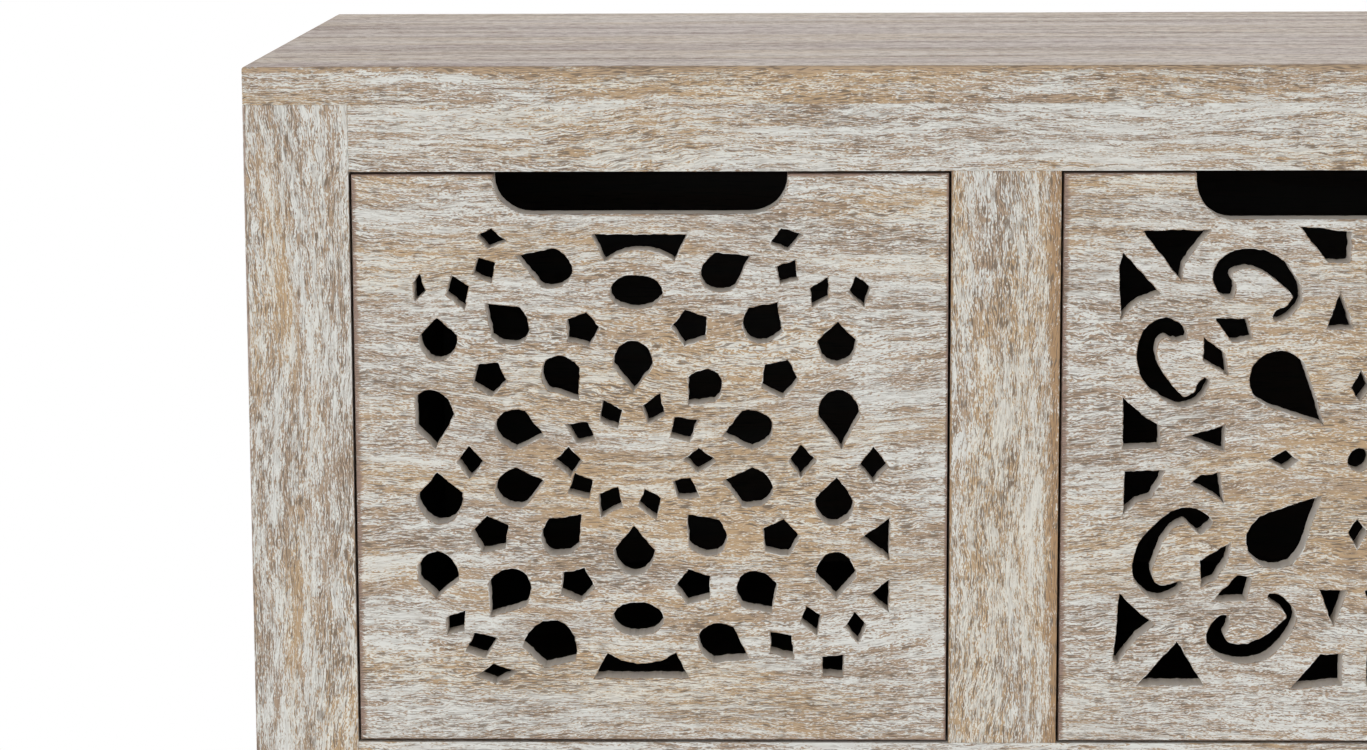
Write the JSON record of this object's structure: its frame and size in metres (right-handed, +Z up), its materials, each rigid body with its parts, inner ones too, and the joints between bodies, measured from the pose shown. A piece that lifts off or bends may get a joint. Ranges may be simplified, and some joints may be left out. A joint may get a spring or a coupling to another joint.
{
  "type": "chest of drawers",
  "caption": "Tall chest of drawers in whitewashed wood on square posts, with inset drawer fronts pierced in mandala and scrollwork patterns and finger notches in their top edges.",
  "frame": {"origin": "on the floor under the middle of the chest", "axes": "+Z up, the drawer fronts face -Y, +X to the right as seen from the front"},
  "size_m": [0.725, 0.4, 1.085],
  "materials": {
    "whitewashed_wood": "whitewash rubbed back to the grain, matt",
    "dark_wood": "dark stain, matt",
    "steel": "bright zinc plating",
    "glide": "matt"
  },
  "bodies": {
    "carcass": {"top_board": "whitewashed_wood", "front_left_post": "whitewashed_wood", "front_right_post": "whitewashed_wood", "back_left_post": "whitewashed_wood", "back_right_post": "whitewashed_wood", "front_top_rail": "whitewashed_wood", "front_upper_rail": "whitewashed_wood", "front_lower_rail": "whitewashed_wood", "front_bottom_rail": "whitewashed_wood", "top_stile": "whitewashed_wood", "middle_stile": "whitewashed_wood", "bottom_stile": "whitewashed_wood", "back_top_rail": "dark_wood", "back_upper_rail": "dark_wood", "back_lower_rail": "dark_wood", "back_bottom_rail": "dark_wood", "back_panel": "dark_wood", "left_top_side_rail": "whitewashed_wood", "left_bottom_side_rail": "whitewashed_wood", "right_top_side_rail": "whitewashed_wood", "right_bottom_side_rail": "whitewashed_wood", "left_side_panel": "whitewashed_wood", "right_side_panel": "whitewashed_wood", "side_bearers": "dark_wood", "centre_bearers": "dark_wood", "side_guides": "dark_wood", "centre_guides": "dark_wood", "drawer_stops": "dark_wood", "top_screws": "steel", "floor_glides": "glide"},
    "top_left_drawer": {"top_left_drawer_front": "whitewashed_wood", "top_left_drawer_left_side": "dark_wood", "top_left_drawer_right_side": "dark_wood", "top_left_drawer_back": "dark_wood", "top_left_drawer_bottom": "dark_wood"},
    "top_right_drawer": {"top_right_drawer_front": "whitewashed_wood", "top_right_drawer_left_side": "dark_wood", "top_right_drawer_right_side": "dark_wood", "top_right_drawer_back": "dark_wood", "top_right_drawer_bottom": "dark_wood"},
    "middle_left_drawer": {"middle_left_drawer_front": "whitewashed_wood", "middle_left_drawer_left_side": "dark_wood", "middle_left_drawer_right_side": "dark_wood", "middle_left_drawer_back": "dark_wood", "middle_left_drawer_bottom": "dark_wood"},
    "middle_right_drawer": {"middle_right_drawer_front": "whitewashed_wood", "middle_right_drawer_left_side": "dark_wood", "middle_right_drawer_right_side": "dark_wood", "middle_right_drawer_back": "dark_wood", "middle_right_drawer_bottom": "dark_wood"},
    "bottom_left_drawer": {"bottom_left_drawer_front": "whitewashed_wood", "bottom_left_drawer_left_side": "dark_wood", "bottom_left_drawer_right_side": "dark_wood", "bottom_left_drawer_back": "dark_wood", "bottom_left_drawer_bottom": "dark_wood"},
    "bottom_right_drawer": {"bottom_right_drawer_front": "whitewashed_wood", "bottom_right_drawer_left_side": "dark_wood", "bottom_right_drawer_right_side": "dark_wood", "bottom_right_drawer_back": "dark_wood", "bottom_right_drawer_bottom": "dark_wood"}
  },
  "joints": [
    {"name": "top_left_drawer_slide", "type": "slide", "parent": "carcass", "child": "top_left_drawer", "axis": [0, -1, 0], "range_m": [0, 0.28]},
    {"name": "top_right_drawer_slide", "type": "slide", "parent": "carcass", "child": "top_right_drawer", "axis": [0, -1, 0], "range_m": [0, 0.28]},
    {"name": "middle_left_drawer_slide", "type": "slide", "parent": "carcass", "child": "middle_left_drawer", "axis": [0, -1, 0], "range_m": [0, 0.28]},
    {"name": "middle_right_drawer_slide", "type": "slide", "parent": "carcass", "child": "middle_right_drawer", "axis": [0, -1, 0], "range_m": [0, 0.28]},
    {"name": "bottom_left_drawer_slide", "type": "slide", "parent": "carcass", "child": "bottom_left_drawer", "axis": [0, -1, 0], "range_m": [0, 0.28]},
    {"name": "bottom_right_drawer_slide", "type": "slide", "parent": "carcass", "child": "bottom_right_drawer", "axis": [0, -1, 0], "range_m": [0, 0.28]}
  ]
}
